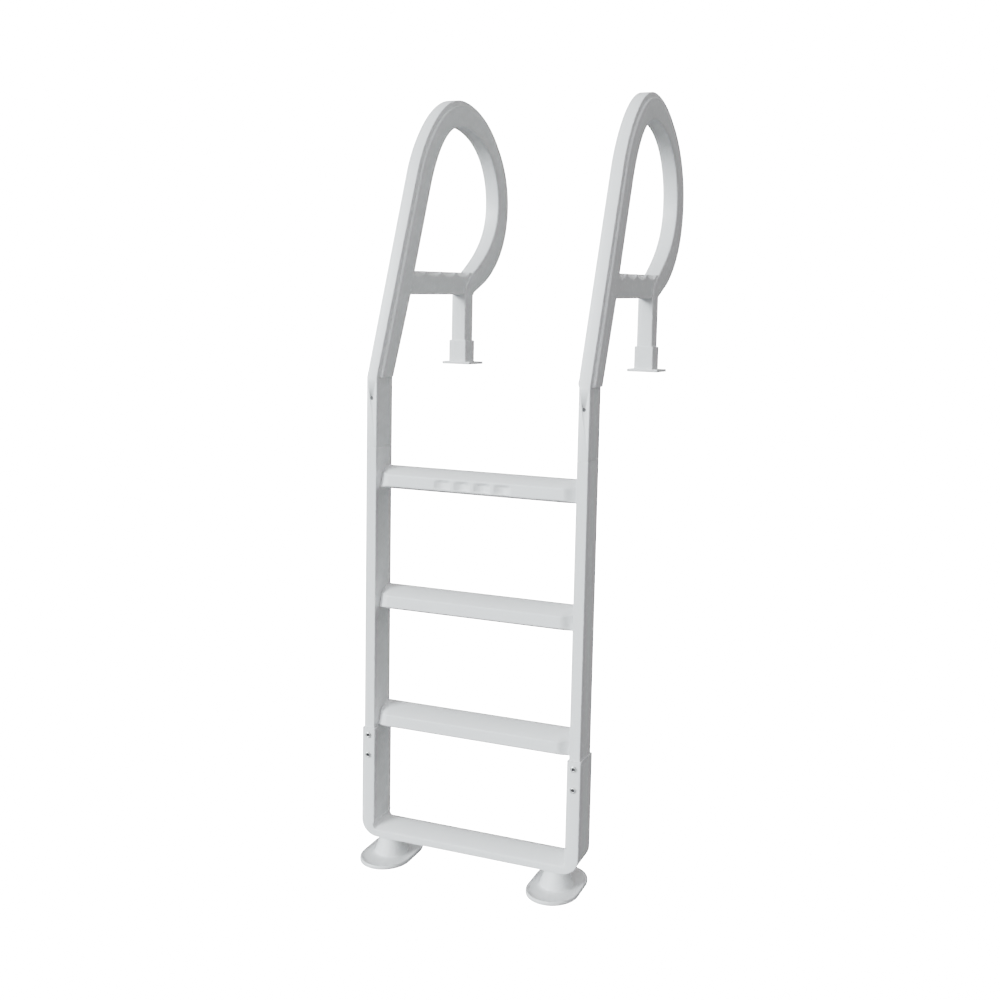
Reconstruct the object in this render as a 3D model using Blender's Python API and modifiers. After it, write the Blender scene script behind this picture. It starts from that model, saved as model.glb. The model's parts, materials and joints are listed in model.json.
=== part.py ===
"""In-pool ladder of moulded white resin: two looped handrails, two hollow stiles, three treads,
a U-shaped lower frame that telescopes on the stiles, swivelling feet and deck flanges.
Lengths are in millimetres and are scaled to metres when each piece is made.
X runs across the ladder, Y runs back towards the deck, Z is up from the pool floor."""
import math

import bmesh
import bpy
from mathutils import Matrix, Vector

MM = 0.001
GAP = 0.3

# Overall layout
STILE_X = 272.0
STILE_W = 27.0
STILE_D = 75.0
FRONT_Y = -337.0
FLOOR_Z = 972.0
WALL = 3.0

# Stile, measured down from the top tread's front edge
JOIN_Z = 62.0
SPIGOT_TOP = 200.0
STILE_END = -872.0
SPIGOT_W = 21.0
SPIGOT_Y0 = 8.0
SPIGOT_Y1 = 71.0
RAIL_SCREW_Z = 180.0

# Handrail
ELBOW_Z = 231.0
BODY_W = 42.5
BAND_W = 32.0
SHOULDER = 19.0
RAIL_TAN = 0.36
POST_Y0 = 452.0
POST_Y1 = 502.0
POST_END = 257.5
GRIP_TOP = (495.0, 509.5)
GRIP_BOTTOM = (434.0, 446.0)

# Treads
TREAD_TOPS = (("top", -1.5), ("middle", -300.5), ("bottom", -600.5))
TREAD_END = 258.2
TENON_Y = (30.0, 60.0)
END_LENGTH = 34.0
END_BACK = 27.0
END_LOW = 11.0

# Lower frame
SLEEVE_OUT = 289.0
SLEEVE_T = 34.0
SLEEVE_Y0 = -3.4
SLEEVE_Y1 = 78.4
SLEEVE_TOP = -640.0
SLEEVE_DROP = 5.0
CORNER_R = 42.0
RUNG_BOTTOM = -918.0
CLAMP_Z = (-657.5, -708.0)
TRAVEL = 150.0

# Feet
FOOT_X = 224.0
FOOT_Y = 34.0
PAD_R = 65.0
PAD_STRAIGHT = 27.0

# Deck flanges
PLATE_Z = 253.0
PLATE_T = 7.5
SOCKET_TOP = 320.0
SOCKET_X = 50.7
SOCKET_Y0 = 448.0
SOCKET_Y1 = 506.0
FLANGE_SCREW_Z = 292.0

for old in list(bpy.data.objects):
    bpy.data.objects.remove(old, do_unlink=True)

parts = bpy.data.collections.new("pool_ladder")
cutters = bpy.data.collections.new("cutters")
bpy.context.scene.collection.children.link(parts)
bpy.context.scene.collection.children.link(cutters)


def material(name, color, roughness, metallic):
    made = bpy.data.materials.new(name)
    made.use_nodes = True
    shader = made.node_tree.nodes["Principled BSDF"]
    shader.inputs["Base Color"].default_value = (color[0], color[1], color[2], 1.0)
    shader.inputs["Roughness"].default_value = roughness
    shader.inputs["Metallic"].default_value = metallic
    return made


resin = material("white_resin", (0.84, 0.85, 0.86), 0.42, 0.0)
pad_rubber = material("pad_resin", (0.80, 0.81, 0.82), 0.6, 0.0)
steel = material("stainless_steel", (0.62, 0.62, 0.61), 0.3, 1.0)


def world(x, y, z):
    return Vector((x * MM, (y + FRONT_Y) * MM, (z + FLOOR_Z) * MM))


def link(name, mesh, mat, home):
    obj = bpy.data.objects.new(name, mesh)
    home.objects.link(obj)
    mesh.materials.clear()
    if mat is not None:
        mesh.materials.append(mat)
    if home is cutters:
        obj.hide_render = True
        obj.display_type = "WIRE"
    return obj


def from_bmesh(name, bm, mat, home):
    bmesh.ops.recalc_face_normals(bm, faces=bm.faces)
    mesh = bpy.data.meshes.new(name)
    bm.to_mesh(mesh)
    bm.free()
    return link(name, mesh, mat, home)


def box(name, lo, hi, mat=None, home=cutters):
    bm = bmesh.new()
    bmesh.ops.create_cube(bm, size=1.0)
    a = world(*lo)
    b = world(*hi)
    size = b - a
    bm.transform(Matrix.Translation((a + b) / 2) @ Matrix.Diagonal((size.x, size.y, size.z, 1.0)))
    return from_bmesh(name, bm, mat, home)


def cylinder(name, axis, centre, radius, length, sides=24, mat=None, home=cutters, turn=0.0):
    """A cylinder whose middle lies at centre, along 'X', 'Y' or 'Z'."""
    bm = bmesh.new()
    bmesh.ops.create_cone(bm, cap_ends=True, segments=sides, radius1=radius * MM,
                          radius2=radius * MM, depth=length * MM)
    bm.transform(Matrix.Rotation(turn, 4, "Z"))
    if axis == "X":
        bm.transform(Matrix.Rotation(math.pi / 2, 4, "Y"))
    if axis == "Y":
        bm.transform(Matrix.Rotation(math.pi / 2, 4, "X"))
    bm.transform(Matrix.Translation(world(*centre)))
    return from_bmesh(name, bm, mat, home)


def turned(name, axis, centre, profile, sides, mat, home=parts):
    """A solid of revolution from (radius, height) pairs, with its height along 'Y' or 'Z'."""
    bm = bmesh.new()
    rings = []
    for radius, height in profile:
        ring = []
        for i in range(sides):
            a = 2 * math.pi * i / sides
            ring.append(bm.verts.new((radius * MM * math.cos(a), radius * MM * math.sin(a), height * MM)))
        rings.append(ring)
    skin(bm, rings)
    if axis == "Y":
        bm.transform(Matrix.Rotation(math.pi / 2, 4, "X"))
    bm.transform(Matrix.Translation(world(*centre)))
    return from_bmesh(name, bm, mat, home)


def skin(bm, rings):
    """Joins rings of equal length with quads and closes both ends."""
    count = len(rings[0])
    for low, high in zip(rings, rings[1:]):
        for i in range(count):
            j = (i + 1) % count
            bm.faces.new((low[i], low[j], high[j], high[i]))
    bm.faces.new(list(reversed(rings[0])))
    bm.faces.new(rings[-1])


def boolean(obj, other, operation):
    mod = obj.modifiers.new(operation.lower(), "BOOLEAN")
    mod.operation = operation
    mod.solver = "EXACT"
    mod.object = other


def bevel(obj, width, segments, angle):
    mod = obj.modifiers.new("edges", "BEVEL")
    mod.width = width * MM
    mod.segments = segments
    mod.limit_method = "ANGLE"
    mod.angle_limit = math.radians(angle)


def smooth(obj, angle=35.0):
    for face in obj.data.polygons:
        face.use_smooth = True
    obj.data.set_sharp_from_angle(angle=math.radians(angle))


def sampled(loop, steps):
    """Points round a bezier outline in the Y-Z plane; straight stretches get none between corners."""
    points = []
    for here, after in zip(loop, loop[1:] + loop[:1]):
        a = Vector(here[0])
        b = Vector(here[2])
        c = Vector(after[1])
        d = Vector(after[0])
        straight = (b - a).length < 0.01 and (c - d).length < 0.01
        for i in range(1 if straight else steps):
            t = i / steps
            s = 1 - t
            points.append(a * s ** 3 + b * 3 * s * s * t + c * 3 * s * t * t + d * t ** 3)
    return points


def inset(points, amount):
    """Moves an outline sideways by amount, to the left of its direction of travel."""
    moved = []
    count = len(points)
    for i in range(count):
        before = (points[i] - points[i - 1]).normalized()
        after = (points[(i + 1) % count] - points[i]).normalized()
        n1 = Vector((-before.y, before.x))
        n2 = Vector((-after.y, after.x))
        mitre = (n1 + n2) / (1 + n1.dot(n2))
        moved.append(points[i] + mitre * amount)
    return moved


def slab(name, loops, half_width, x, radius, steps, home):
    """A plate across X from outlines that keep the solid on their right, with rounded rims."""
    levels = ((half_width, radius), (half_width - radius * 0.29, radius * 0.29), (half_width - radius, 0.0))
    levels = levels + tuple((-w, r) for w, r in reversed(levels))
    bm = bmesh.new()
    ends = ([], [])
    for loop in loops:
        points = sampled(loop, steps)
        rings = []
        for wide, back in levels:
            ring = [bm.verts.new(world(x + wide, p.x, p.y)) for p in inset(points, -back)]
            rings.append(ring)
        count = len(points)
        for low, high in zip(rings, rings[1:]):
            for i in range(count):
                j = (i + 1) % count
                bm.faces.new((low[i], low[j], high[j], high[i]))
        for ring, end in ((rings[0], ends[0]), (rings[-1], ends[1])):
            for i in range(count):
                end.append(bm.edges.get((ring[i], ring[(i + 1) % count])))
    for end in ends:
        bmesh.ops.triangle_fill(bm, use_beauty=True, use_dissolve=False, edges=end)
    return from_bmesh(name, bm, None, home)


def corner(y, z):
    """An outline point with no rounding: its handles sit on it."""
    return ((y, z), (y, z), (y, z))


def bend(y, z, before, after, angle):
    """A smooth outline point: handle lengths before and after it, travelling at angle degrees."""
    dy = math.cos(math.radians(angle))
    dz = math.sin(math.radians(angle))
    return ((y, z), (y - before * dy, z - before * dz), (y + after * dy, z + after * dz))


LEAN = 90.0 - math.degrees(math.atan(RAIL_TAN))


def outer_run(depth):
    """The handrail's outer contour from elbow to loop top, moved inwards by depth."""
    side = depth / math.cos(math.atan(RAIL_TAN))
    return [corner(side + RAIL_TAN * (250 - ELBOW_Z), 250),
            bend(186 + side, 748, 0, 75 - depth * 0.6, LEAN),
            bend(447, 968 - depth, 140 - depth * 0.5, 160 - depth * 0.4, 0)]


def handrail_body():
    """The wide part: loop, grip and post, inside the shoulder."""
    outline = [corner(SHOULDER + 1, ELBOW_Z - 1)]
    outline += outer_run(SHOULDER)
    outline += [bend(731, 716, 136, 112, -90), bend(580, 486, 88, 0, -151),
                corner(POST_Y1, 450), corner(POST_Y1, POST_END),
                corner(POST_Y0, POST_END), corner(POST_Y0, GRIP_BOTTOM[1]),
                corner(149, GRIP_BOTTOM[0]), corner(69, ELBOW_Z - 1)]
    opening = [bend(500, GRIP_TOP[1], 0, 62, 33), bend(659, 712, 105, 112, 90),
               bend(441, 898, 130, 116, 180), bend(246, 708, 68, 0, 180 + LEAN),
               corner(169, GRIP_TOP[0])]
    return outline, opening


def band_outline():
    """The band proud of the shoulder, from the elbow over the top to the loop's back."""
    deep = SHOULDER + 14
    outline = [corner(0.05, ELBOW_Z - 3), corner(0.05, ELBOW_Z)] + outer_run(0)[1:]
    outline += [bend(732, 716, 142, 0, -90), bend(732 - deep, 716, 0, 128, 90)]
    for co, before, after in reversed(outer_run(deep)[1:]):
        outline.append((co, after, before))
    outline += [corner(40, 255), corner(34, ELBOW_Z - 3)]
    return outline


def make_handrail(side, tag):
    x = side * STILE_X
    body = slab("handrail_" + tag, handrail_body(), BODY_W / 2, x, 3.0, 7, parts)
    body.data.materials.append(resin)
    boolean(body, cylinder("post_hole_" + tag, "Y", (x, POST_Y1 - 5, FLANGE_SCREW_Z), 2.9, 24),
            "DIFFERENCE")
    band = slab("band_" + tag, [band_outline()], BAND_W / 2, x, 1.6, 7, cutters)
    narrow = box("stock_" + tag, (x - STILE_W / 2, 0, JOIN_Z + GAP), (x + STILE_W / 2, STILE_D, ELBOW_Z))
    bevel(narrow, 1.2, 1, 50)
    half = SPIGOT_W / 2 + GAP
    socket = box("rail_socket_" + tag, (x - half, SPIGOT_Y0 - GAP, JOIN_Z - 5),
                 (x + half, SPIGOT_Y1 + GAP, SPIGOT_TOP + GAP * 3))
    boolean(narrow, socket, "DIFFERENCE")
    boolean(narrow, cylinder("rail_screw_hole_" + tag, "Y", (x, 5, RAIL_SCREW_Z), 3.0, 20), "DIFFERENCE")
    boolean(narrow, cylinder("rail_screw_seat_" + tag, "Y", (x, -1, RAIL_SCREW_Z), 5.2, 11), "DIFFERENCE")
    boolean(narrow, band, "UNION")
    boolean(body, narrow, "UNION")
    smooth(body)


def make_stile(side, tag):
    x = side * STILE_X
    stile = box("stile_" + tag, (x - STILE_W / 2, 0, STILE_END), (x + STILE_W / 2, STILE_D, JOIN_Z),
                resin, parts)
    bevel(stile, 1.2, 2, 50)
    boolean(stile, box("spigot_" + tag, (x - SPIGOT_W / 2, SPIGOT_Y0, JOIN_Z - 40),
                       (x + SPIGOT_W / 2, SPIGOT_Y1, SPIGOT_TOP)), "UNION")
    lower = box("bore_" + tag, (x - STILE_W / 2 + WALL, WALL, STILE_END - 5),
                (x + STILE_W / 2 - WALL, STILE_D - WALL, JOIN_Z - 25))
    boolean(stile, lower, "DIFFERENCE")
    upper = box("spigot_bore_" + tag, (x - SPIGOT_W / 2 + WALL, SPIGOT_Y0 + WALL, JOIN_Z - 30),
                (x + SPIGOT_W / 2 - WALL, SPIGOT_Y1 - WALL, SPIGOT_TOP + 5))
    boolean(stile, upper, "DIFFERENCE")
    inner = x - side * STILE_W / 2
    for name, top in TREAD_TOPS:
        mortise = box("mortise_" + name + "_" + tag,
                      (min(inner, inner + side * 6) - 2, TENON_Y[0] - GAP, top - 30 - GAP),
                      (max(inner, inner + side * 6) + 2, TENON_Y[1] + GAP, top - 8 + GAP))
        boolean(stile, mortise, "DIFFERENCE")
    slot = box("clamp_slot_" + tag, (x - 4, -5, CLAMP_Z[1] - TRAVEL - 5), (x + 4, 5, CLAMP_Z[0] + 5))
    boolean(stile, slot, "DIFFERENCE")
    boolean(stile, cylinder("spigot_hole_" + tag, "Y", (x, SPIGOT_Y0, RAIL_SCREW_Z), 3.0, 12), "DIFFERENCE")
    smooth(stile)


def smoothstep(t):
    t = min(1.0, max(0.0, t))
    return t * t * (3 - 2 * t)


def plan_curve(u):
    """Share of the end set-back at u: a rounded corner, then straight to the stile."""
    bend_share = 0.4
    steep = 1 / (1 - bend_share / 2)
    if u < bend_share:
        return steep * u * u / (2 * bend_share)
    return steep * (u - bend_share / 2)


def make_tread(name, top):
    """A loft across X whose front face slants back towards each stile over a straight lower edge."""
    back_part = ((14.0, 5.6), (30.0, 10.6), (47.0, 13.8), (62.0, 14.6), (69.0, 13.2), (72.0, 9.0),
                 (72.0, -32.0), (68.0, -36.5), (12.5, -36.5))
    shares = (1.0, 0.7, 0.4, 0.28, 0.14, 0.0)
    places = [-(END_LENGTH * k) for k in shares] + [END_LENGTH * k for k in reversed(shares)]
    bm = bmesh.new()
    rings = []
    for place in places:
        turn = plan_curve(abs(place) / END_LENGTH)
        x = place + math.copysign(TREAD_END - END_LENGTH, place)
        profile = [(END_LOW * turn, -29.0 - 6.0 * turn), (END_BACK * turn, -2.4),
                   (1.4 + END_BACK * turn, -0.4)]
        for y, z in back_part:
            fade = max(0.0, 1 - (y - 8) / 45.0) if z > 0 else 0.0
            profile.append((y + END_BACK * turn * fade, z))
        rings.append([bm.verts.new(world(x, 3 + y, top + z)) for y, z in profile])
    skin(bm, rings)
    tread = from_bmesh("tread_" + name, bm, resin, parts)
    for side in (-1, 1):
        a = side * (TREAD_END - 15)
        b = side * (TREAD_END + 12)
        tenon = box("tenon_" + name + str(side), (min(a, b), TENON_Y[0], top - 30),
                    (max(a, b), TENON_Y[1], top - 8))
        boolean(tread, tenon, "UNION")
    if name == "top":
        for k in range(4):
            x = -82.0 + 52.0 * k
            boolean(tread, cylinder("scoop_%d" % k, "Z", (x, -16.5, -18.6), 27.0, 26.0, 40), "DIFFERENCE")
    smooth(tread)


def u_path():
    """Stations round the U: outer point, inward normal and how far the section is a rung's."""
    found = [((-SLEEVE_OUT, None), (1.0, 0.0), 0.0, SLEEVE_T),
             ((-SLEEVE_OUT, -700.0), (1.0, 0.0), 0.0, SLEEVE_T),
             ((-SLEEVE_OUT, RUNG_BOTTOM + CORNER_R + 12), (1.0, 0.0), 0.0, SLEEVE_T)]
    steps = 8
    for i in range(steps + 1):
        a = math.pi / 2 * i / steps
        x = -SLEEVE_OUT + CORNER_R * (1 - math.cos(a))
        z = RUNG_BOTTOM + CORNER_R * (1 - math.sin(a))
        fat = 3.6 * math.sin(2 * a)
        blend = smoothstep(i / steps)
        found.append(((x, z), (math.cos(a), math.sin(a)), blend, SLEEVE_T + fat))
    mirrored = []
    for (x, z), (nx, nz), blend, thick in reversed(found):
        mirrored.append(((-x, z), (-nx, nz), blend, thick))
    return found + mirrored


def sleeve_top(y):
    return SLEEVE_TOP - SLEEVE_DROP * smoothstep((y - 4) / 68.0)


def make_lower_frame():
    """Sleeves and rung in one hollow moulding, lofted round the U."""
    depth = (SLEEVE_Y0, SLEEVE_Y0 + 0.4, SLEEVE_Y0 + 1.6, 12.0, 28.0, 45.0, 60.0,
             SLEEVE_Y1 - 1.6, SLEEVE_Y1 - 0.4, SLEEVE_Y1)
    edge = (1.5, 0.4, 0.0, 0.0, 0.0, 0.0, 0.0, 0.0, 0.4, 1.5)
    crown = (18.0, 20.4, 23.4, 28.2, 31.6, 33.0, 32.8, 29.4, 25.8, 21.5)
    bm = bmesh.new()
    rings = []
    for (x, z), (nx, nz), blend, thick in u_path():
        ring = []
        for y, e in zip(depth, edge):
            level = sleeve_top(y) if z is None else z
            ring.append(bm.verts.new(world(x + nx * e, y, level + nz * e)))
        for y, e, c in reversed(list(zip(depth, edge, crown))):
            level = sleeve_top(y) if z is None else z
            t = (thick - e) * (1 - blend) + c * blend
            ring.append(bm.verts.new(world(x + nx * t, y, level + nz * t)))
        rings.append(ring)
    count = len(rings[0])
    half = count // 2
    for low, high in zip(rings, rings[1:]):
        for i in range(count):
            j = (i + 1) % count
            bm.faces.new((low[i], low[j], high[j], high[i]))
    for ring in (rings[0], rings[-1]):
        for i in range(half - 1):
            bm.faces.new((ring[i], ring[i + 1], ring[count - 2 - i], ring[count - 1 - i]))
    frame = from_bmesh("lower_frame", bm, resin, parts)
    for side, tag in ((-1, "left"), (1, "right")):
        x = side * STILE_X
        w = STILE_W / 2 + GAP
        boolean(frame, box("sleeve_bore_" + tag, (x - w, -GAP, STILE_END - 1.5),
                           (x + w, STILE_D + GAP, SLEEVE_TOP + 10)), "DIFFERENCE")
        for k, z in enumerate(CLAMP_Z):
            boolean(frame, cylinder("clamp_hole_%s_%d" % (tag, k), "Y", (x, -3, z), 3.4, 12), "DIFFERENCE")
        boolean(frame, cylinder("stem_hole_" + tag, "Z", (side * FOOT_X, FOOT_Y, RUNG_BOTTOM), 4.4, 16),
                "DIFFERENCE")
    boolean(frame, box("rung_bore", (-STILE_X + 2, 9, RUNG_BOTTOM + 3.2), (STILE_X - 2, 66, -900.5)),
            "DIFFERENCE")
    riser = box("riser_bore", (-STILE_X + 2, 12, -908), (-STILE_X + 12, 62, STILE_END + 5))
    boolean(frame, riser, "DIFFERENCE")
    riser = box("riser_bore_b", (STILE_X - 12, 12, -908), (STILE_X - 2, 62, STILE_END + 5))
    boolean(frame, riser, "DIFFERENCE")
    smooth(frame)


def nut(name, axis, centre, across, thick, hole):
    made = cylinder(name, axis, centre, across / math.sqrt(3), thick, 6, steel, parts, math.pi / 6)
    boolean(made, cylinder(name + "_hole", axis, centre, hole, thick + 4, 20), "DIFFERENCE")


def make_fasteners(side, tag):
    x = side * STILE_X
    # Pan-head screw sunk in the handrail's front, with its nut behind the spigot wall
    turned("rail_screw_" + tag, "Y", (x, 0, RAIL_SCREW_Z),
           ((3.6, -1.2), (4.5, -2.2), (4.5, -4.2), (2.5, -4.2), (2.5, -18.0)), 20, steel)
    nut("rail_nut_" + tag, "Y", (x, SPIGOT_Y0 + WALL + GAP + 2.2, RAIL_SCREW_Z), 9.0, 4.4, 2.8)
    # Two clamp screws through sleeve and slotted stile into one threaded bar
    bar = box("clamp_bar_" + tag, (x - 8.5, WALL + GAP, CLAMP_Z[1] - 13),
              (x + 8.5, WALL + GAP + 5, CLAMP_Z[0] + 13), steel, parts)
    for k, z in enumerate(CLAMP_Z):
        y0 = SLEEVE_Y0 - GAP
        turned("clamp_screw_%s_%d" % (tag, k + 1), "Y", (x, y0, z),
               ((2.5, 3.2), (4.4, 3.0), (6.4, 2.0), (7.5, 0.0), (2.8, 0.0), (2.8, -16.0)), 24, steel)
        boolean(bar, cylinder("bar_hole_%s_%d" % (tag, k), "Y", (x, 6, z), 3.1, 14, 20), "DIFFERENCE")
    # Screw through the back of the deck socket into the post
    turned("flange_screw_" + tag, "Y", (x, SOCKET_Y1 + GAP, FLANGE_SCREW_Z),
           ((2.5, 12.5), (2.5, 0.0), (5.0, 0.0), (5.0, -1.6), (3.4, -3.0)), 20, steel)
    # Shouldered bolt that carries the foot, with its nut inside the hollow rung
    turned("foot_bolt_" + tag, "Z", (side * FOOT_X, FOOT_Y, -FLOOR_Z),
           ((7.0, 2.5), (7.5, 3.0), (7.5, 8.5), (4.0, 8.5), (4.0, 66.0)), 24, steel)
    nut("foot_nut_" + tag, "Z", (side * FOOT_X, FOOT_Y, RUNG_BOTTOM + 3.2 + GAP + 2.5), 13.0, 5.0, 4.3)


def make_foot(side, tag):
    """A long pad with a raised rim, lofted into the round boss that meets the rung."""
    rings_at = ((PAD_R - 2.0, PAD_STRAIGHT, 0.0), (PAD_R, PAD_STRAIGHT, 2.0), (PAD_R, PAD_STRAIGHT, 8.5),
                (PAD_R - 2.0, PAD_STRAIGHT, 10.0), (PAD_R - 4.5, PAD_STRAIGHT, 9.0),
                (PAD_R - 7.0, PAD_STRAIGHT, 7.0), (41.0, 1.0, 8.5), (40.0, 0.0, 14.0), (37.0, 0.0, 24.0),
                (33.0, 0.0, 36.0), (29.5, 0.0, 47.0), (28.0, 0.0, 53.7))
    bm = bmesh.new()
    rings = []
    sides = 40
    for radius, straight, z in rings_at:
        ring = []
        for i in range(sides):
            a = 2 * math.pi * (i + 0.5) / sides
            y = radius * math.sin(a) + math.copysign(straight, math.sin(a))
            ring.append(bm.verts.new(world(side * FOOT_X + radius * math.cos(a), FOOT_Y + y, z - FLOOR_Z)))
        rings.append(ring)
    skin(bm, rings)
    foot = from_bmesh("foot_" + tag, bm, pad_rubber, parts)
    boolean(foot, cylinder("head_seat_" + tag, "Z", (side * FOOT_X, FOOT_Y, -FLOOR_Z + 3.9), 8.3, 9.8),
            "DIFFERENCE")
    boolean(foot, cylinder("stem_bore_" + tag, "Z", (side * FOOT_X, FOOT_Y, -FLOOR_Z + 30), 4.5, 80),
            "DIFFERENCE")
    smooth(foot)
    at = world(side * FOOT_X, FOOT_Y, -FLOOR_Z)
    foot.data.transform(Matrix.Translation(-at))
    foot.location = at


def make_flange(side, tag):
    x = side * STILE_X
    mid = (SOCKET_Y0 + SOCKET_Y1) / 2
    flange = box("deck_flange_" + tag, (x - SOCKET_X / 2 - 17, SOCKET_Y0 - 8, PLATE_Z),
                 (x + SOCKET_X / 2 + 17, SOCKET_Y1 + 22, PLATE_Z + PLATE_T), resin, parts)
    bevel(flange, 2.2, 2, 50)
    collar = box("collar_" + tag, (x - SOCKET_X / 2, SOCKET_Y0, PLATE_Z + 3),
                 (x + SOCKET_X / 2, SOCKET_Y1, SOCKET_TOP))
    bevel(collar, 2.0, 2, 50)
    boolean(flange, collar, "UNION")
    boolean(flange, box("post_socket_" + tag, (x - BODY_W / 2 - GAP, POST_Y0 - GAP, POST_END - GAP),
                        (x + BODY_W / 2 + GAP, POST_Y1 + GAP, SOCKET_TOP + 5)), "DIFFERENCE")
    boolean(flange, cylinder("flange_hole_" + tag, "Y", (x, SOCKET_Y1, FLANGE_SCREW_Z), 2.9, 14),
            "DIFFERENCE")
    for i, dx in enumerate((-1, 1)):
        for j, dy in enumerate((-26.0, 30.0)):
            centre = (x + dx * (SOCKET_X / 2 + 9), mid + dy, PLATE_Z + 4)
            boolean(flange, cylinder("deck_hole_%s_%d%d" % (tag, i, j), "Z", centre, 2.8, 20, 16),
                    "DIFFERENCE")
    smooth(flange)


make_lower_frame()
for tread_name, tread_top in TREAD_TOPS:
    make_tread(tread_name, tread_top)
for ladder_side, side_tag in ((-1, "left"), (1, "right")):
    make_handrail(ladder_side, side_tag)
    make_stile(ladder_side, side_tag)
    make_fasteners(ladder_side, side_tag)
    make_foot(ladder_side, side_tag)
    make_flange(ladder_side, side_tag)
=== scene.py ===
"""Studio view of the moulded resin pool ladder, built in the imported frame.

Metres, Z up, +Y towards the deck. Lengths in the code are millimetres unless they say otherwise.
"""
import json
import math

import bmesh
import bpy
from mathutils import Matrix, Vector

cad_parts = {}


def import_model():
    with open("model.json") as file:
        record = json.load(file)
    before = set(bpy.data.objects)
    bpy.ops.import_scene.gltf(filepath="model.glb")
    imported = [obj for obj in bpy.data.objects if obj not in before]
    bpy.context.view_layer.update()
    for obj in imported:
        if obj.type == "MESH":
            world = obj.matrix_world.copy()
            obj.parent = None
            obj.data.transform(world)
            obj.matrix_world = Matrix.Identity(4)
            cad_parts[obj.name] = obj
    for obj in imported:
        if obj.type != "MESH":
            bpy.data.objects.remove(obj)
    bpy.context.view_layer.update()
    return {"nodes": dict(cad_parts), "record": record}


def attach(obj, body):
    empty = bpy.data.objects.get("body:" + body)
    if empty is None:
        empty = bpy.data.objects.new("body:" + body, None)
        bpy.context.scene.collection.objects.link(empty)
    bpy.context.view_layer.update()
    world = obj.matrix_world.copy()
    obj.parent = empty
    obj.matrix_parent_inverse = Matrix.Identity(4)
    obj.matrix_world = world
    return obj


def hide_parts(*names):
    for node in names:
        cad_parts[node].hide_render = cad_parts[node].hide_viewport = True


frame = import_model()

MM = 0.001
STILE_FRONT_Y = -337.0
TOP_TREAD_Z = 972.0
STILE_X = 272.0

# ---------------------------------------------------------------- helpers


def world(x, y, z):
    """Ladder millimetres (Y from the stile fronts, Z from the top tread) to the row frame."""
    return Vector((x * MM, (y + STILE_FRONT_Y) * MM, (z + TOP_TREAD_Z) * MM))


def smoothstep(a, b, v):
    """Eases from 0 at a to 1 at b; a may be the larger."""
    t = min(1.0, max(0.0, (v - a) / (b - a)))
    return t * t * (3 - 2 * t)


def finish_mesh(name, bm, mat, angle=35.0):
    """Turns bm into a smooth-shaded object whose edges over angle degrees stay sharp."""
    bmesh.ops.recalc_face_normals(bm, faces=bm.faces)
    mesh = bpy.data.meshes.new(name)
    bm.to_mesh(mesh)
    bm.free()
    obj = bpy.data.objects.new(name, mesh)
    bpy.context.scene.collection.objects.link(obj)
    mesh.materials.append(mat)
    for face in mesh.polygons:
        face.use_smooth = True
    mesh.set_sharp_from_angle(angle=math.radians(angle))
    return obj


def join_rings(bm, rings, closed_ends=True):
    """Skins neighbouring rings of vertices, and caps the first and last where asked."""
    count = len(rings[0])
    for low, high in zip(rings, rings[1:]):
        for i in range(count):
            j = (i + 1) % count
            bm.faces.new((low[i], low[j], high[j], high[i]))
    if closed_ends:
        bm.faces.new(list(reversed(rings[0])))
        bm.faces.new(rings[-1])


# ---------------------------------------------------------------- materials


def resin_material(name, color, roughness, grain, stain):
    """Satin moulded resin: a faint mottling of colour and gloss, and a fine orange-peel bump."""
    mat = bpy.data.materials.new(name)
    mat.use_nodes = True
    nodes = mat.node_tree.nodes
    links = mat.node_tree.links
    shader = nodes["Principled BSDF"]
    coords = nodes.new("ShaderNodeTexCoord")
    broad = nodes.new("ShaderNodeTexNoise")
    broad.inputs["Scale"].default_value = 7.0
    broad.inputs["Detail"].default_value = 3.0
    links.new(coords.outputs["Object"], broad.inputs["Vector"])
    ramp = nodes.new("ShaderNodeValToRGB")
    ramp.color_ramp.elements[0].position = 0.3
    ramp.color_ramp.elements[1].position = 0.7
    ramp.color_ramp.elements[0].color = (color[0] - stain, color[1] - stain, color[2] - stain, 1)
    ramp.color_ramp.elements[1].color = (color[0], color[1], color[2], 1)
    links.new(broad.outputs["Fac"], ramp.inputs["Fac"])
    links.new(ramp.outputs["Color"], shader.inputs["Base Color"])
    fine = nodes.new("ShaderNodeTexNoise")
    fine.inputs["Scale"].default_value = 420.0
    fine.inputs["Detail"].default_value = 4.0
    links.new(coords.outputs["Object"], fine.inputs["Vector"])
    gloss = nodes.new("ShaderNodeMapRange")
    gloss.inputs["To Min"].default_value = roughness - 0.06
    gloss.inputs["To Max"].default_value = roughness + 0.06
    links.new(fine.outputs["Fac"], gloss.inputs["Value"])
    links.new(gloss.outputs["Result"], shader.inputs["Roughness"])
    bump = nodes.new("ShaderNodeBump")
    bump.inputs["Strength"].default_value = grain
    bump.inputs["Distance"].default_value = 0.0004
    links.new(fine.outputs["Fac"], bump.inputs["Height"])
    links.new(bump.outputs["Normal"], shader.inputs["Normal"])
    shader.inputs["IOR"].default_value = 1.46
    return mat


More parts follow.
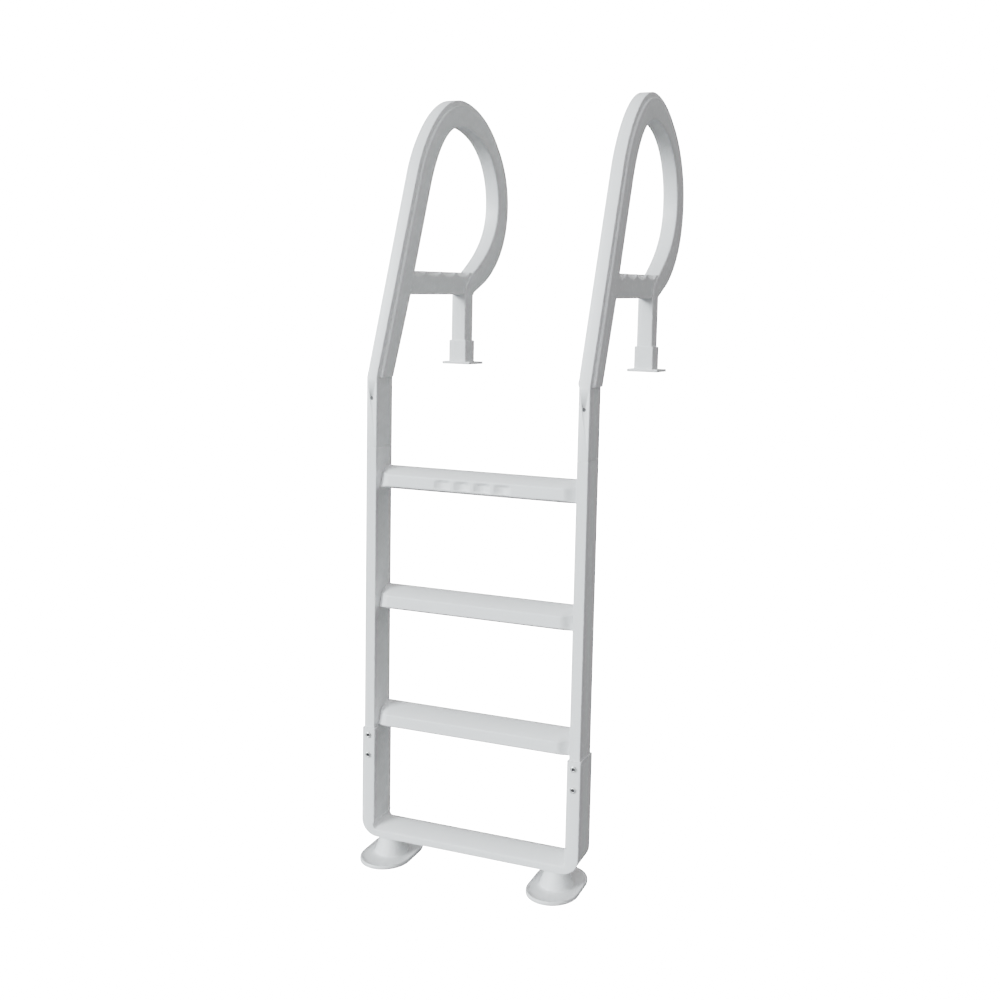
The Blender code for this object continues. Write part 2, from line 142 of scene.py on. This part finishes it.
def steel_material(name, dark, light):
    """Brushed stainless with fine scratches."""
    mat = bpy.data.materials.new(name)
    mat.use_nodes = True
    nodes = mat.node_tree.nodes
    links = mat.node_tree.links
    shader = nodes["Principled BSDF"]
    shader.inputs["Metallic"].default_value = 1.0
    coords = nodes.new("ShaderNodeTexCoord")
    stretch = nodes.new("ShaderNodeMapping")
    stretch.inputs["Scale"].default_value = (90.0, 900.0, 900.0)
    links.new(coords.outputs["Object"], stretch.inputs["Vector"])
    grain = nodes.new("ShaderNodeTexNoise")
    grain.inputs["Scale"].default_value = 1.0
    links.new(stretch.outputs["Vector"], grain.inputs["Vector"])
    tone = nodes.new("ShaderNodeValToRGB")
    tone.color_ramp.elements[0].color = (dark, dark, dark * 0.99, 1)
    tone.color_ramp.elements[1].color = (light, light, light * 0.99, 1)
    links.new(grain.outputs["Fac"], tone.inputs["Fac"])
    links.new(tone.outputs["Color"], shader.inputs["Base Color"])
    rough = nodes.new("ShaderNodeMapRange")
    rough.inputs["To Min"].default_value = 0.22
    rough.inputs["To Max"].default_value = 0.38
    links.new(grain.outputs["Fac"], rough.inputs["Value"])
    links.new(rough.outputs["Result"], shader.inputs["Roughness"])
    return mat


RESIN = resin_material("satin_resin", (0.81, 0.812, 0.816), 0.38, 0.10, 0.012)
PAD = resin_material("foot_resin", (0.79, 0.792, 0.796), 0.34, 0.10, 0.014)
STEEL = steel_material("stainless", 0.70, 0.86)
# Steel painted dark as painted shade, for the screws' sunk holes and recesses.
RECESS_SHADE_STEEL = steel_material("shaded_recess", 0.16, 0.24)

SLOT_LOOK = {"white_resin": RESIN, "pad_resin": PAD, "stainless_steel": STEEL}
for sub in frame["record"]["subparts"]:
    node = frame["nodes"][sub["node"]]
    look = SLOT_LOOK[sub["material_slot"]]
    node.data.materials.clear()
    node.data.materials.append(look)

# ---------------------------------------------------------------- handrails

ELBOW_Z = 231.0
JOIN_Z = 62.0
BODY_W = 42.5
BODY_ROUND = 3.6
LEDGE = 13.5
RAIL_TAN = 0.36
LEAN = 90.0 - math.degrees(math.atan(RAIL_TAN))
POST_Y0 = 452.0
POST_Y1 = 502.0
POST_END = 258.0
BAND_W = 32.0
BAND_DEEP = 33.0
BAND_ROUND = 1.6
SHANK_W = 27.0
SHANK_DEPTH = 75.0
SHANK_ROUND = 1.2
RIDGE = 3.4
RAIL_SIDEWAYS = 1.063
GRIP_TOP = (495.0, 509.5)
GRIP_BOTTOM = (434.0, 446.0)
GRIP_W = 36.0
GRIP_Y = (140.0, 512.0)
GRIP_STEPS = 150
FINGERS = (192.0, 275.0, 358.0, 443.0)
FINGER_HALF = 37.0
FINGER_DEEP = 12.5
FINGER_WIDER = 1.35
GRIP_RIM = 0.8
SCREW_Z = 180.0
SCREW_HOLE_R = 4.8
SCREW_HOLE_DEEP = 5.0
STEPS = 22


def corner(y, z):
    """A bezier point with no handles: (place, handle before, handle after)."""
    return ((y, z), (y, z), (y, z))


def bend(y, z, before, after, angle):
    """A bezier point whose handles lie along angle, counted from +Y towards +Z in degrees."""
    dy = math.cos(math.radians(angle))
    dz = math.sin(math.radians(angle))
    return ((y, z), (y - before * dy, z - before * dz), (y + after * dy, z + after * dz))


def outer_run(depth):
    """The handrail's outer contour from elbow to loop top, moved inwards by depth."""
    side = depth / math.cos(math.atan(RAIL_TAN))
    return [corner(side + RAIL_TAN * (250 - ELBOW_Z), 250),
            bend(186 + side, 748, 0, 75 - depth * 0.6, LEAN),
            bend(447, 968 - depth, 140 - depth * 0.5, 160 - depth * 0.4, 0)]


def sampled(loop, steps, closed=True):
    """Points along a bezier outline in the Y-Z plane; straight stretches get only their ends."""
    points = []
    ends = loop[1:] + (loop[:1] if closed else [])
    for here, after in zip(loop, ends):
        a = Vector(here[0])
        b = Vector(here[2])
        c = Vector(after[1])
        d = Vector(after[0])
        straight = (b - a).length < 0.01 and (c - d).length < 0.01
        for i in range(1 if straight else steps):
            t = i / steps
            s = 1 - t
            points.append(a * s ** 3 + b * 3 * s * s * t + c * 3 * s * t * t + d * t ** 3)
    if not closed:
        points.append(Vector(loop[-1][0]))
    return points


def inset(points, amount):
    """Moves a closed outline sideways by amount, to the left of its direction of travel."""
    moved = []
    count = len(points)
    for i in range(count):
        before = (points[i] - points[i - 1]).normalized()
        after = (points[(i + 1) % count] - points[i]).normalized()
        n1 = Vector((-before.y, before.x))
        n2 = Vector((-after.y, after.x))
        moved.append(points[i] + (n1 + n2) / (1 + n1.dot(n2)) * amount)
    return moved


def add_slab(bm, loops, half_width, x, radius, turns=5):
    """A plate across X from outlines that keep the solid on their right, with rounded rims."""
    levels = []
    for k in range(turns + 1):
        a = math.pi / 2 * k / turns
        levels.append((half_width - radius * (1 - math.cos(a)), radius * (1 - math.sin(a))))
    levels = levels + [(-w, r) for w, r in reversed(levels)]
    ends = ([], [])
    for loop in loops:
        points = sampled(loop, STEPS)
        rings = []
        for wide, back in levels:
            rings.append([bm.verts.new(world(x + wide, p.x, p.y)) for p in inset(points, -back)])
        count = len(points)
        join_rings(bm, rings, closed_ends=False)
        for ring, end in ((rings[0], ends[0]), (rings[-1], ends[1])):
            for i in range(count):
                end.append(bm.edges.get((ring[i], ring[(i + 1) % count])))
    for end in ends:
        bmesh.ops.triangle_fill(bm, use_beauty=True, use_dissolve=False, edges=end)


def add_bead(bm, path, xs, sizes, sides=14):
    """A round bead along points in the Y-Z plane; xs and sizes are its X and radius at each."""
    rings = []
    for i, p in enumerate(path):
        ahead = path[min(i + 1, len(path) - 1)]
        behind = path[max(i - 1, 0)]
        along = (ahead - behind).normalized()
        across = Vector((-along.y, along.x))
        ring = []
        for k in range(sides):
            a = 2 * math.pi * k / sides
            off = across * math.cos(a) * sizes[i]
            place = world(xs[i] + math.sin(a) * sizes[i], p.x + off.x, p.y + off.y)
            ring.append(bm.verts.new(place))
        rings.append(ring)
    join_rings(bm, rings)


def limb_outline():
    """The wide limb: up the rail, over the top, down the back and into the post."""
    outline = [corner(LEDGE + 1, ELBOW_Z - 1)] + outer_run(LEDGE)
    outline += [bend(731, 716, 136, 112, -90), bend(580, 486, 88, 0, -151),
                corner(POST_Y1, 450), corner(POST_Y1, POST_END), corner(POST_Y0, POST_END),
                bend(POST_Y0, 440, 0, 30, 90), bend(500, 509.5, 32, 62, 33),
                bend(659, 712, 105, 112, 90), bend(441, 898, 130, 116, 180),
                bend(246, 708, 68, 0, 180 + LEAN), corner(169, GRIP_TOP[0]),
                corner(149, GRIP_BOTTOM[0]), corner(67, ELBOW_Z - 1)]
    return outline


def band_outline():
    """The raised band, from the elbow over the top to the loop's back."""
    outline = [corner(0.8, ELBOW_Z - 9), corner(0.1, ELBOW_Z)] + outer_run(0)[1:]
    outline += [bend(732, 716, 142, 0, -90), bend(732 - BAND_DEEP, 716, 0, 128, 90)]
    for co, before, after in reversed(outer_run(BAND_DEEP)[1:]):
        outline.append((co, after, before))
    outline += [corner(40, 255), corner(34, ELBOW_Z - 9)]
    return outline


def add_grip(bm, x):
    """The grip bar's web, thinner than the limbs, with four finger scoops in each upper edge."""
    start, end = GRIP_Y
    half = GRIP_W / 2
    rings = []
    for i in range(GRIP_STEPS + 1):
        y = start + (end - start) * i / GRIP_STEPS
        top = GRIP_TOP[0] + (y - 169) / (500 - 169) * (GRIP_TOP[1] - GRIP_TOP[0])
        low = GRIP_BOTTOM[0] + (y - 149) / (452 - 149) * (GRIP_BOTTOM[1] - GRIP_BOTTOM[0])
        dip = 0.0
        for c in FINGERS:
            v = abs(y - c) / FINGER_HALF
            if v < 1:
                dip = max(dip, FINGER_DEEP * math.sqrt(1 - v * v))
        cut_in = GRIP_RIM + dip * FINGER_WIDER
        cut_down = GRIP_RIM + dip
        section = [(-half + 1.5, low), (-half, low + 1.5)]
        for t in (0.0, 0.5, 1.0):
            section.append((-half + cut_in * t, top - cut_down + cut_down * t))
        right = [(-sx, sz) for sx, sz in reversed(section)]
        rings.append([bm.verts.new(world(x + sx, y, sz)) for sx, sz in section + right])
    join_rings(bm, rings)


def cut_hole(obj, place, radius, depth):
    """Sinks a round hole into the front of obj and keeps the result as its mesh."""
    bm = bmesh.new()
    bmesh.ops.create_cone(bm, cap_ends=True, segments=32, radius1=radius * MM, radius2=radius * MM,
                          depth=2 * depth * MM)
    bm.transform(Matrix.Translation(world(*place)) @ Matrix.Rotation(math.pi / 2, 4, "X"))
    cutter = finish_mesh("cutter", bm, RESIN)
    mod = obj.modifiers.new("hole", "BOOLEAN")
    mod.operation = "DIFFERENCE"
    mod.solver = "EXACT"
    mod.object = cutter
    bpy.context.view_layer.update()
    graph = bpy.context.evaluated_depsgraph_get()
    cut = bpy.data.meshes.new_from_object(obj.evaluated_get(graph))
    obj.modifiers.clear()
    obj.data = cut
    bpy.data.objects.remove(cutter, do_unlink=True)


def narrow_at_elbow(bm, known, x):
    """Draws the sides of the new vertices in to the shank's width just above the elbow."""
    least = (SHANK_W - 0.6) / BAND_W
    for vert in bm.verts:
        if vert in known:
            continue
        rise = vert.co.z / MM - TOP_TREAD_Z - ELBOW_Z
        share = least + (1 - least) * smoothstep(-4, 24, rise)
        vert.co.x = x * MM + (vert.co.x - x * MM) * share


def ridge_path():
    """The light ridge's course beside the band, from the loop's back down to the elbow."""
    deep = LEDGE + RIDGE * 0.75
    side = deep * RAIL_SIDEWAYS
    ridge = [bend(732 - deep, 716, 0, 136, 90), bend(447, 968 - deep, 150, 128, 180),
             bend(186 + side, 748, 62, 0, 180 + LEAN),
             corner(side + RAIL_TAN * 14, ELBOW_Z + 14),
             bend(deep + 5, ELBOW_Z + 1.5, 9, 0, -35), corner(62, ELBOW_Z + 1.5)]
    return sampled(ridge, STEPS * 2, closed=False)


def ridge_size(p):
    """The ridge's radius: it fades out behind the loop's top and thins at the elbow."""
    behind = 1 - 0.9 * smoothstep(560, 700, p.x)
    elbow = 1 - 0.55 * smoothstep(12, -1, p.y - ELBOW_Z)
    return RIDGE * behind * elbow


def make_handrail(side, tag):
    """One moulding: limb, raised band, ridges, grip bar and the shank over the stile's spigot."""
    x = side * STILE_X
    bm = bmesh.new()
    add_slab(bm, [limb_outline()], BODY_W / 2, x, BODY_ROUND)
    known = set(bm.verts)
    add_slab(bm, [band_outline()], BAND_W / 2, x, BAND_ROUND)
    narrow_at_elbow(bm, known, x)
    add_grip(bm, x)
    path = ridge_path()
    sizes = [ridge_size(p) for p in path]
    for face in (-1, 1):
        inner = []
        for size in sizes:
            inner.append(x + face * (BODY_W / 2 + 0.45 - size))
        add_bead(bm, path, inner, sizes)
    rail = finish_mesh("rail_" + tag, bm, RESIN, 34)
    bm = bmesh.new()
    foot = JOIN_Z + 0.3
    outline = [corner(0, foot), corner(0, ELBOW_Z), corner(8, ELBOW_Z + 18),
               corner(60, ELBOW_Z + 18), corner(66, ELBOW_Z), corner(SHANK_DEPTH, ELBOW_Z - 1),
               corner(SHANK_DEPTH, foot)]
    add_slab(bm, [outline], SHANK_W / 2, x, SHANK_ROUND, turns=3)
    shank = finish_mesh("rail_shank_" + tag, bm, RESIN, 34)
    cut_hole(shank, (x, 0, SCREW_Z), SCREW_HOLE_R, SCREW_HOLE_DEEP)
    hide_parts("handrail_" + tag)
    for piece in (rail, shank):
        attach(piece, "upper")
    # The rail screw sits sunk in its hole: its steel is painted dark as painted shade.
    frame["nodes"]["rail_screw_" + tag].data.materials[0] = RECESS_SHADE_STEEL


for rail_side, rail_tag in ((-1, "left"), (1, "right")):
    make_handrail(rail_side, rail_tag)

# ---------------------------------------------------------------- treads

TREAD_END = 258.2
TREADS = (("top", -1.5), ("middle", -300.5), ("bottom", -600.5))
TREAD_Y = 3.0
TREAD_BACK = 72.0
FRONT_LOW = -29.0
NOSE_Z = -3.2
END_LENGTH = 34.0
END_BACK = 27.0
END_LOW = 17.0
END_DROP = 6.0
END_STEPS = 18
HALF_STEPS = 20
SCOOPS = (-82.0, -30.0, 22.0, 74.0)
SCOOP_HALF = 22.0
SCOOP_DEEP = 8.0
FADE_Y = 8.0
FADE_LENGTH = 45.0
CROWN = ((5.0, 1.4), (9.0, 3.5), (14.0, 5.6), (22.0, 8.4), (30.0, 10.6), (38.0, 12.4),
         (47.0, 13.7), (55.0, 14.4), (62.0, 14.5), (66.5, 13.9), (69.6, 12.5), (71.4, 10.4))


def plan_curve(u):
    """Share of the end set-back at u: a rounded corner, then straight to the stile."""
    bend_share = 0.4
    steep = 1 / (1 - bend_share / 2)
    if u < bend_share:
        return steep * u * u / (2 * bend_share)
    return steep * (u - bend_share / 2)


def tread_profile(turn, dent):
    """Section at one station: flat front, rounded nosing, crowned top, small bevel below."""
    low = FRONT_LOW - END_DROP * turn
    low_y = END_LOW * turn
    high_y = END_BACK * turn
    points = [(low_y + 1.1, low - 0.9), (low_y + 0.3, low - 0.2), (low_y, low + 0.9)]
    for k in range(1, 12):
        t = k / 12
        z = low + 0.9 + (NOSE_Z - low - 0.9) * t
        y = low_y + (high_y - low_y) * t
        points.append((y + dent * smoothstep(-3.5, -12.0, z), z))
    for k in range(5):
        a = math.pi / 2 * k / 4
        points.append((high_y + 1.6 * (1 - math.cos(a)), NOSE_Z + 2.7 * math.sin(a)))
    for y, z in CROWN:
        fade = max(0.0, 1 - (y - FADE_Y) / FADE_LENGTH) if y > FADE_Y else 1.0
        points.append((y + high_y * fade, z))
    points += [(TREAD_BACK, 8.0), (TREAD_BACK, -33.0), (71.4, -35.2), (69.5, -36.4),
               (13.8 + END_DROP * turn, -36.4), (12.6 + END_DROP * turn, -36.2)]
    return points


def make_tread(name, top):
    """A loft across X whose front slants back towards each stile over a straight lower edge."""
    scoops = SCOOPS if name == "top" else ()
    straight = TREAD_END - END_LENGTH
    places = []
    for k in range(1, END_STEPS + 1):
        places.append((straight + END_LENGTH * k / END_STEPS, plan_curve(k / END_STEPS)))
    flats = set()
    for i in range(-HALF_STEPS, HALF_STEPS + 1):
        flats.add(round(straight * i / HALF_STEPS, 3))
        for c in scoops:
            flats.add(round(c + (SCOOP_HALF + 1) * i / HALF_STEPS, 3))
    stations = [(-x, turn) for x, turn in reversed(places)]
    stations += [(x, 0.0) for x in sorted(flats)] + places
    bm = bmesh.new()
    rings = []
    for x, turn in stations:
        dent = 0.0
        for c in scoops:
            v = abs(x - c) / SCOOP_HALF
            if v < 1:
                dent = max(dent, SCOOP_DEEP * math.cos(v * math.pi / 2) ** 1.1)
        section = tread_profile(turn, dent)
        rings.append([bm.verts.new(world(x, TREAD_Y + y, top + z)) for y, z in section])
    join_rings(bm, rings)
    tread = finish_mesh("step_" + name, bm, RESIN, 30)
    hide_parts("tread_" + name)
    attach(tread, "upper")


for tread_name, tread_top in TREADS:
    make_tread(tread_name, tread_top)

# ---------------------------------------------------------------- lower frame

SLEEVE_OUT = 289.0
SLEEVE_T = 34.0
SLEEVE_Y0 = -3.4
SLEEVE_Y1 = 78.4
SLEEVE_TOP = -640.0
SLEEVE_FALL = 5.0
CORNER_R = 42.0
CORNER_SWELL = 3.6
RUNG_BOTTOM = -918.0
RUNG_FRONT = 17.5
RUNG_RISE = 15.5
RUNG_FALL = 11.0


def sleeve_top(y):
    """Height of the sleeve's upper edge at depth y: it falls a little towards the back."""
    return SLEEVE_TOP - SLEEVE_FALL * smoothstep(4, 72, y)


def u_path():
    """Stations round the U: outer point, inward normal, share of rung section, thickness."""
    found = [((-SLEEVE_OUT, None), (1.0, 0.0), 0.0, SLEEVE_T)]
    for z in (-700.0, -780.0, -840.0):
        found.append(((-SLEEVE_OUT, z), (1.0, 0.0), 0.0, SLEEVE_T))
    steps = 20
    for i in range(steps + 1):
        a = math.pi / 2 * i / steps
        x = -SLEEVE_OUT + CORNER_R * (1 - math.cos(a))
        z = RUNG_BOTTOM + CORNER_R * (1 - math.sin(a))
        found.append(((x, z), (math.cos(a), math.sin(a)), smoothstep(0, 1, i / steps),
                      SLEEVE_T + CORNER_SWELL * math.sin(2 * a)))
    found.append(((-200.0, RUNG_BOTTOM), (0.0, 1.0), 1.0, SLEEVE_T))
    mirrored = []
    for (x, z), (nx, nz), blend, thick in reversed(found):
        mirrored.append(((-x, z), (-nx, nz), blend, thick))
    return found + mirrored


def crown(y):
    """Height of the rung over its underside at depth y: low front edge, high behind the middle."""
    ramp = min(1.0, (y - SLEEVE_Y0) / 52.0)
    front = RUNG_FRONT + RUNG_RISE * math.sin(ramp * math.pi / 2) ** 0.8
    back = RUNG_FALL * smoothstep(52, SLEEVE_Y1 + 4, y)
    return front - back


def make_lower_frame():
    """The U of two sleeves and the rung, as one loft with rounded rims."""
    rim = 1.6
    ys = [SLEEVE_Y0]
    es = [rim]
    for k in range(1, 5):
        a = math.pi / 2 * k / 4
        ys.append(SLEEVE_Y0 + rim * (1 - math.cos(a)))
        es.append(rim * (1 - math.sin(a)))
    for k in range(1, 14):
        ys.append(SLEEVE_Y0 + rim + (SLEEVE_Y1 - SLEEVE_Y0 - 2 * rim) * k / 14)
        es.append(0.0)
    for k in range(4, -1, -1):
        a = math.pi / 2 * k / 4
        ys.append(SLEEVE_Y1 - rim * (1 - math.cos(a)))
        es.append(rim * (1 - math.sin(a)))
    bm = bmesh.new()
    rings = []
    for (x, z), (nx, nz), blend, thick in u_path():
        ring = []
        for y, e in zip(ys, es):
            level = sleeve_top(y) if z is None else z
            ring.append(bm.verts.new(world(x + nx * e, y, level + nz * e)))
        for y, e in reversed(list(zip(ys, es))):
            level = sleeve_top(y) if z is None else z
            t = (thick - e) * (1 - blend) + (crown(y) - e * 0.8) * blend
            ring.append(bm.verts.new(world(x + nx * t, y, level + nz * t)))
        rings.append(ring)
    join_rings(bm, rings, closed_ends=False)
    count = len(rings[0])
    for ring in (rings[0], rings[-1]):
        for i in range(count // 2 - 1):
            bm.faces.new((ring[i], ring[i + 1], ring[count - 2 - i], ring[count - 1 - i]))
    low = finish_mesh("lower_u", bm, RESIN, 40)
    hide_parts("lower_frame")
    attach(low, "lower")


make_lower_frame()

# ---------------------------------------------------------------- feet

FOOT_X = 224.0
FOOT_Y = 34.0
FOOT_SIDES = 96
# Radius of the round ends, half the straight between them, and height over the floor.
FOOT_SHAPE = (
    (63.0, 27.0, 0.2), (64.3, 27.0, 0.8), (64.7, 27.0, 2.4), (64.7, 27.0, 6.6), (64.4, 27.0, 8.4),
    (63.6, 27.0, 9.6), (62.2, 27.0, 10.0), (60.8, 27.0, 9.7), (59.4, 27.0, 8.8), (57.5, 27.0, 7.8),
    (54.0, 22.0, 7.2), (47.0, 8.0, 7.4), (42.8, 1.0, 7.8), (41.6, 0.0, 9.2), (41.0, 0.0, 11.5),
    (40.0, 0.0, 15.5), (38.6, 0.0, 20.0), (36.4, 0.0, 26.0), (33.8, 0.0, 33.0), (31.4, 0.0, 40.0),
    (29.4, 0.0, 47.0), (28.2, 0.0, 53.6))


def make_foot(side, tag):
    """Stadium pad with a rolled rim, sweeping up into the round boss."""
    bm = bmesh.new()
    rings = []
    for radius, straight, z in FOOT_SHAPE:
        ring = []
        for i in range(FOOT_SIDES):
            a = 2 * math.pi * (i + 0.5) / FOOT_SIDES
            x = side * FOOT_X + radius * math.cos(a)
            y = radius * math.sin(a) + math.copysign(straight, math.sin(a))
            ring.append(bm.verts.new(world(x, FOOT_Y + y, z - TOP_TREAD_Z)))
        rings.append(ring)
    join_rings(bm, rings)
    foot = finish_mesh("pad_" + tag, bm, PAD, 40)
    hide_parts("foot_" + tag)
    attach(foot, "foot_" + tag)


for foot_side, foot_tag in ((-1, "left"), (1, "right")):
    make_foot(foot_side, foot_tag)

# ---------------------------------------------------------------- clamp screws

CLAMP_HEIGHTS = ((1, -657.5), (2, -708.0))
SCREW_SIDES = 36
# Radius and distance out from the sleeve's face, from the shank's end to the recess's floor.
SCREW_SHAPE = ((2.5, -17.0), (2.5, 0.2), (7.5, 0.0), (7.5, 0.9), (7.2, 2.0), (6.5, 2.8),
               (5.6, 3.2), (4.7, 3.2), (4.0, 2.9), (3.6, 2.2), (3.3, 0.8))


def make_clamp_screw(side, tag, index, z):
    """Button head with a round recess in its face."""
    bm = bmesh.new()
    rings = []
    for radius, out_by in SCREW_SHAPE:
        y = SLEEVE_Y0 - 0.3 - out_by
        ring = []
        for i in range(SCREW_SIDES):
            a = 2 * math.pi * i / SCREW_SIDES
            x = side * STILE_X + radius * math.cos(a)
            ring.append(bm.verts.new(world(x, y, z + radius * math.sin(a))))
        rings.append(ring)
    join_rings(bm, rings)
    name = "%s_%d" % (tag, index)
    screw = finish_mesh("button_" + name, bm, STEEL, 40)
    # The recess faces take the dark steel: painted shade in the head's recess.
    screw.data.materials.append(RECESS_SHADE_STEEL)
    for face in list(screw.data.polygons)[-1 - SCREW_SIDES:]:
        face.material_index = 1
    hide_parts("clamp_screw_" + name)
    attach(screw, "lower")


for screw_side, screw_tag in ((-1, "left"), (1, "right")):
    for screw_index, screw_z in CLAMP_HEIGHTS:
        make_clamp_screw(screw_side, screw_tag, screw_index, screw_z)

# ---------------------------------------------------------------- studio

SLIDE_TRAVEL = 150.0
FLOOR_GLOW = 26.0
FLOOR_GLOW_SHARE = 0.93
SKY_GLOW = 24.0
SUN_COLOR = (0.90, 0.97, 1.0)


def camera_only(tree, strength):
    """The factor that picks out the camera's own rays, and an emission to show them."""
    path = tree.nodes.new("ShaderNodeLightPath")
    glow = tree.nodes.new("ShaderNodeEmission")
    glow.inputs["Strength"].default_value = strength
    return path.outputs["Is Camera Ray"], glow


def stage_floor():
    """Floor under the longest setting: grey for the light it returns, white to the camera."""
    bm = bmesh.new()
    bmesh.ops.create_grid(bm, x_segments=1, y_segments=1, size=30.0)
    mat = bpy.data.materials.new("studio_floor")
    mat.use_nodes = True
    nodes = mat.node_tree.nodes
    links = mat.node_tree.links
    shader = nodes["Principled BSDF"]
    coords = nodes.new("ShaderNodeTexCoord")
    cloud = nodes.new("ShaderNodeTexNoise")
    cloud.inputs["Scale"].default_value = 0.6
    links.new(coords.outputs["Object"], cloud.inputs["Vector"])
    tone = nodes.new("ShaderNodeValToRGB")
    tone.color_ramp.elements[0].color = (0.20, 0.20, 0.20, 1)
    tone.color_ramp.elements[1].color = (0.24, 0.24, 0.24, 1)
    links.new(cloud.outputs["Fac"], tone.inputs["Fac"])
    links.new(tone.outputs["Color"], shader.inputs["Base Color"])
    shader.inputs["Roughness"].default_value = 0.9
    shader.inputs["Specular IOR Level"].default_value = 0.1
    seen, glow = camera_only(mat.node_tree, FLOOR_GLOW)
    share = nodes.new("ShaderNodeMath")
    share.operation = "MULTIPLY"
    share.inputs[1].default_value = FLOOR_GLOW_SHARE
    links.new(seen, share.inputs[0])
    mix = nodes.new("ShaderNodeMixShader")
    links.new(share.outputs["Value"], mix.inputs["Fac"])
    links.new(shader.outputs["BSDF"], mix.inputs[1])
    links.new(glow.outputs["Emission"], mix.inputs[2])
    links.new(mix.outputs["Shader"], nodes["Material Output"].inputs["Surface"])
    floor = finish_mesh("studio_floor", bm, mat)
    floor.location = (0, 0, -SLIDE_TRAVEL * MM - 0.001)


stage_floor()


def sun(name, towards, strength, spread):
    """A soft distant light; towards points from the ladder to the light."""
    data = bpy.data.lights.new(name, "SUN")
    data.energy = strength
    data.angle = math.radians(spread)
    data.color = SUN_COLOR
    lamp = bpy.data.objects.new(name, data)
    bpy.context.scene.collection.objects.link(lamp)
    lamp.rotation_euler = Vector(towards).to_track_quat("Z", "Y").to_euler()


sun("key", (-0.58, -0.72, 0.36), 6.1, 26.0)
sun("front", (-0.04, -0.95, 0.28), 1.5, 24.0)
sun("rim", (0.6, 0.5, 0.62), 0.45, 60.0)


def white_room():
    """World light that is stronger from above, and plain white to the camera's own rays."""
    backdrop = bpy.data.worlds.new("white_room")
    bpy.context.scene.world = backdrop
    backdrop.use_nodes = True
    nodes = backdrop.node_tree.nodes
    links = backdrop.node_tree.links
    ambient = nodes["Background"]
    ambient.inputs["Color"].default_value = (1.0, 1.0, 1.0, 1)
    where = nodes.new("ShaderNodeTexCoord")
    height = nodes.new("ShaderNodeSeparateXYZ")
    links.new(where.outputs["Generated"], height.inputs["Vector"])
    from_above = nodes.new("ShaderNodeMapRange")
    from_above.inputs["From Min"].default_value = -0.2
    from_above.inputs["From Max"].default_value = 1.0
    from_above.inputs["To Min"].default_value = 0.16
    from_above.inputs["To Max"].default_value = 0.68
    links.new(height.outputs["Z"], from_above.inputs["Value"])
    links.new(from_above.outputs["Result"], ambient.inputs["Strength"])
    bright = nodes.new("ShaderNodeBackground")
    bright.inputs["Strength"].default_value = SKY_GLOW
    ray = nodes.new("ShaderNodeLightPath")
    mix = nodes.new("ShaderNodeMixShader")
    links.new(ray.outputs["Is Camera Ray"], mix.inputs["Fac"])
    links.new(ambient.outputs["Background"], mix.inputs[1])
    links.new(bright.outputs["Background"], mix.inputs[2])
    links.new(mix.outputs["Shader"], nodes["World Output"].inputs["Surface"])


white_room()

# ---------------------------------------------------------------- camera

# The place is in metres and the angles in radians.
EYE = (1.0791, -2.5653, 1.3326)
YAW = 0.3193
PITCH = -0.1007
ROLL = 0.0302
FOCAL_LENGTH = 38.05
SENSOR = 36.0
SHIFT = (-0.1128, -0.0631)

level_forward = Vector((-math.sin(YAW), math.cos(YAW), 0))
level_right = Vector((math.cos(YAW), math.sin(YAW), 0))
straight_up = Vector((0, 0, 1))
forward = level_forward * math.cos(PITCH) + straight_up * math.sin(PITCH)
tilted_up = straight_up * math.cos(PITCH) - level_forward * math.sin(PITCH)
right = level_right * math.cos(ROLL) + tilted_up * math.sin(ROLL)
upward = tilted_up * math.cos(ROLL) - level_right * math.sin(ROLL)

lens = bpy.data.cameras.new("camera")
lens.lens = FOCAL_LENGTH
lens.sensor_width = SENSOR
lens.shift_x, lens.shift_y = SHIFT
lens.clip_end = 100.0
camera = bpy.data.objects.new("camera", lens)
bpy.context.scene.collection.objects.link(camera)
axes = Matrix((right, upward, -forward)).transposed().to_4x4()
camera.matrix_world = Matrix.Translation(EYE) @ axes
bpy.context.scene.camera = camera
